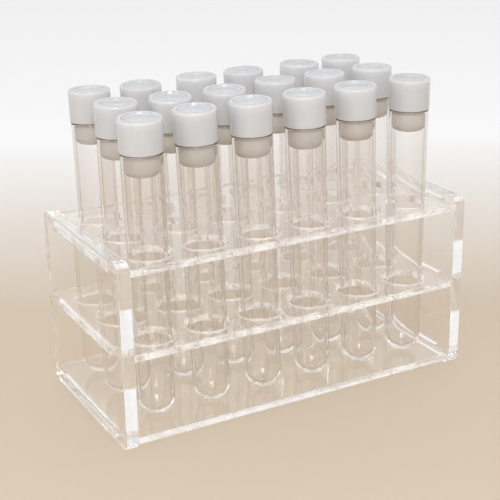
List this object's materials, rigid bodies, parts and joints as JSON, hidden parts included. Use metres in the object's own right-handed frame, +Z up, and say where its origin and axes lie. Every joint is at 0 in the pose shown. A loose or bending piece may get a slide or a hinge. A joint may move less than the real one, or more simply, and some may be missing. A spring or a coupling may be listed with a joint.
{
  "type": "test tube rack with capped test tubes",
  "caption": "Clear acrylic rack holding rows of capped round-bottom test tubes; each tube lifts out and each cap pulls off.",
  "frame": {"origin": "middle of the rack's footprint, on the surface the rack stands on", "axes": "+X along the rack's length to its right end, +Y to its back, +Z up"},
  "size_m": [0.146, 0.0714, 0.1178],
  "materials": {
    "acrylic": "clear acrylic, polished, with brighter cut edges",
    "tube_plastic": "clear moulded polystyrene, glossy",
    "cap_plastic": "translucent white polyethylene, satin"
  },
  "bodies": {
    "rack": {"left_end_panel": "acrylic", "right_end_panel": "acrylic", "bottom_shelf": "acrylic", "middle_shelf": "acrylic", "top_shelf": "acrylic"},
    "tube_front_1": {"tube_front_1": "tube_plastic"},
    "cap_front_1": {"cap_front_1": "cap_plastic"},
    "tube_front_2": {"tube_front_2": "tube_plastic"},
    "cap_front_2": {"cap_front_2": "cap_plastic"},
    "tube_front_3": {"tube_front_3": "tube_plastic"},
    "cap_front_3": {"cap_front_3": "cap_plastic"},
    "tube_front_4": {"tube_front_4": "tube_plastic"},
    "cap_front_4": {"cap_front_4": "cap_plastic"},
    "tube_front_5": {"tube_front_5": "tube_plastic"},
    "cap_front_5": {"cap_front_5": "cap_plastic"},
    "tube_front_6": {"tube_front_6": "tube_plastic"},
    "cap_front_6": {"cap_front_6": "cap_plastic"},
    "tube_middle_1": {"tube_middle_1": "tube_plastic"},
    "cap_middle_1": {"cap_middle_1": "cap_plastic"},
    "tube_middle_2": {"tube_middle_2": "tube_plastic"},
    "cap_middle_2": {"cap_middle_2": "cap_plastic"},
    "tube_middle_3": {"tube_middle_3": "tube_plastic"},
    "cap_middle_3": {"cap_middle_3": "cap_plastic"},
    "tube_middle_4": {"tube_middle_4": "tube_plastic"},
    "cap_middle_4": {"cap_middle_4": "cap_plastic"},
    "tube_middle_5": {"tube_middle_5": "tube_plastic"},
    "cap_middle_5": {"cap_middle_5": "cap_plastic"},
    "tube_middle_6": {"tube_middle_6": "tube_plastic"},
    "cap_middle_6": {"cap_middle_6": "cap_plastic"},
    "tube_back_1": {"tube_back_1": "tube_plastic"},
    "cap_back_1": {"cap_back_1": "cap_plastic"},
    "tube_back_2": {"tube_back_2": "tube_plastic"},
    "cap_back_2": {"cap_back_2": "cap_plastic"},
    "tube_back_3": {"tube_back_3": "tube_plastic"},
    "cap_back_3": {"cap_back_3": "cap_plastic"},
    "tube_back_4": {"tube_back_4": "tube_plastic"},
    "cap_back_4": {"cap_back_4": "cap_plastic"},
    "tube_back_5": {"tube_back_5": "tube_plastic"},
    "cap_back_5": {"cap_back_5": "cap_plastic"},
    "tube_back_6": {"tube_back_6": "tube_plastic"},
    "cap_back_6": {"cap_back_6": "cap_plastic"}
  },
  "joints": [
    {"name": "tube_lift_front_1", "type": "slide", "parent": "rack", "child": "tube_front_1", "axis": [-0.0247, -0.0247, 0.9994], "range_m": [0, 0.066]},
    {"name": "cap_pull_front_1", "type": "slide", "parent": "tube_front_1", "child": "cap_front_1", "axis": [-0.0247, -0.0247, 0.9994], "range_m": [0, 0.032]},
    {"name": "tube_lift_front_2", "type": "slide", "parent": "rack", "child": "tube_front_2", "axis": [-0.0349, 0, 0.9994], "range_m": [0, 0.066]},
    {"name": "cap_pull_front_2", "type": "slide", "parent": "tube_front_2", "child": "cap_front_2", "axis": [-0.0349, 0, 0.9994], "range_m": [0, 0.032]},
    {"name": "tube_lift_front_3", "type": "slide", "parent": "rack", "child": "tube_front_3", "axis": [-0.0349, 0, 0.9994], "range_m": [0, 0.066]},
    {"name": "cap_pull_front_3", "type": "slide", "parent": "tube_front_3", "child": "cap_front_3", "axis": [-0.0349, 0, 0.9994], "range_m": [0, 0.032]},
    {"name": "tube_lift_front_4", "type": "slide", "parent": "rack", "child": "tube_front_4", "axis": [-0.0349, 0, 0.9994], "range_m": [0, 0.066]},
    {"name": "cap_pull_front_4", "type": "slide", "parent": "tube_front_4", "child": "cap_front_4", "axis": [-0.0349, 0, 0.9994], "range_m": [0, 0.032]},
    {"name": "tube_lift_front_5", "type": "slide", "parent": "rack", "child": "tube_front_5", "axis": [-0.0349, 0, 0.9994], "range_m": [0, 0.066]},
    {"name": "cap_pull_front_5", "type": "slide", "parent": "tube_front_5", "child": "cap_front_5", "axis": [-0.0349, 0, 0.9994], "range_m": [0, 0.032]},
    {"name": "tube_lift_front_6", "type": "slide", "parent": "rack", "child": "tube_front_6", "axis": [0, 0, 1], "range_m": [0, 0.066]},
    {"name": "cap_pull_front_6", "type": "slide", "parent": "tube_front_6", "child": "cap_front_6", "axis": [0, 0, 1], "range_m": [0, 0.032]},
    {"name": "tube_lift_middle_1", "type": "slide", "parent": "rack", "child": "tube_middle_1", "axis": [0, 0, 1], "range_m": [0, 0.066]},
    {"name": "cap_pull_middle_1", "type": "slide", "parent": "tube_middle_1", "child": "cap_middle_1", "axis": [0, 0, 1], "range_m": [0, 0.032]},
    {"name": "tube_lift_middle_2", "type": "slide", "parent": "rack", "child": "tube_middle_2", "axis": [-0.0247, -0.0247, 0.9994], "range_m": [0, 0.066]},
    {"name": "cap_pull_middle_2", "type": "slide", "parent": "tube_middle_2", "child": "cap_middle_2", "axis": [-0.0247, -0.0247, 0.9994], "range_m": [0, 0.032]},
    {"name": "tube_lift_middle_3", "type": "slide", "parent": "rack", "child": "tube_middle_3", "axis": [-0.0247, -0.0247, 0.9994], "range_m": [0, 0.066]},
    {"name": "cap_pull_middle_3", "type": "slide", "parent": "tube_middle_3", "child": "cap_middle_3", "axis": [-0.0247, -0.0247, 0.9994], "range_m": [0, 0.032]},
    {"name": "tube_lift_middle_4", "type": "slide", "parent": "rack", "child": "tube_middle_4", "axis": [0, 0.0349, 0.9994], "range_m": [0, 0.066]},
    {"name": "cap_pull_middle_4", "type": "slide", "parent": "tube_middle_4", "child": "cap_middle_4", "axis": [0, 0.0349, 0.9994], "range_m": [0, 0.032]},
    {"name": "tube_lift_middle_5", "type": "slide", "parent": "rack", "child": "tube_middle_5", "axis": [0, 0.0349, 0.9994], "range_m": [0, 0.066]},
    {"name": "cap_pull_middle_5", "type": "slide", "parent": "tube_middle_5", "child": "cap_middle_5", "axis": [0, 0.0349, 0.9994], "range_m": [0, 0.032]},
    {"name": "tube_lift_middle_6", "type": "slide", "parent": "rack", "child": "tube_middle_6", "axis": [0, 0.0349, 0.9994], "range_m": [0, 0.066]},
    {"name": "cap_pull_middle_6", "type": "slide", "parent": "tube_middle_6", "child": "cap_middle_6", "axis": [0, 0.0349, 0.9994], "range_m": [0, 0.032]},
    {"name": "tube_lift_back_1", "type": "slide", "parent": "rack", "child": "tube_back_1", "axis": [0, 0.0349, 0.9994], "range_m": [0, 0.066]},
    {"name": "cap_pull_back_1", "type": "slide", "parent": "tube_back_1", "child": "cap_back_1", "axis": [0, 0.0349, 0.9994], "range_m": [0, 0.032]},
    {"name": "tube_lift_back_2", "type": "slide", "parent": "rack", "child": "tube_back_2", "axis": [-0.0349, 0, 0.9994], "range_m": [0, 0.066]},
    {"name": "cap_pull_back_2", "type": "slide", "parent": "tube_back_2", "child": "cap_back_2", "axis": [-0.0349, 0, 0.9994], "range_m": [0, 0.032]},
    {"name": "tube_lift_back_3", "type": "slide", "parent": "rack", "child": "tube_back_3", "axis": [0, 0.0349, 0.9994], "range_m": [0, 0.066]},
    {"name": "cap_pull_back_3", "type": "slide", "parent": "tube_back_3", "child": "cap_back_3", "axis": [0, 0.0349, 0.9994], "range_m": [0, 0.032]},
    {"name": "tube_lift_back_4", "type": "slide", "parent": "rack", "child": "tube_back_4", "axis": [-0.0247, 0.0247, 0.9994], "range_m": [0, 0.066]},
    {"name": "cap_pull_back_4", "type": "slide", "parent": "tube_back_4", "child": "cap_back_4", "axis": [-0.0247, 0.0247, 0.9994], "range_m": [0, 0.032]},
    {"name": "tube_lift_back_5", "type": "slide", "parent": "rack", "child": "tube_back_5", "axis": [0.0247, 0.0247, 0.9994], "range_m": [0, 0.066]},
    {"name": "cap_pull_back_5", "type": "slide", "parent": "tube_back_5", "child": "cap_back_5", "axis": [0.0247, 0.0247, 0.9994], "range_m": [0, 0.032]},
    {"name": "tube_lift_back_6", "type": "slide", "parent": "rack", "child": "tube_back_6", "axis": [0, 0.0349, 0.9994], "range_m": [0, 0.066]},
    {"name": "cap_pull_back_6", "type": "slide", "parent": "tube_back_6", "child": "cap_back_6", "axis": [0, 0.0349, 0.9994], "range_m": [0, 0.032]}
  ]
}
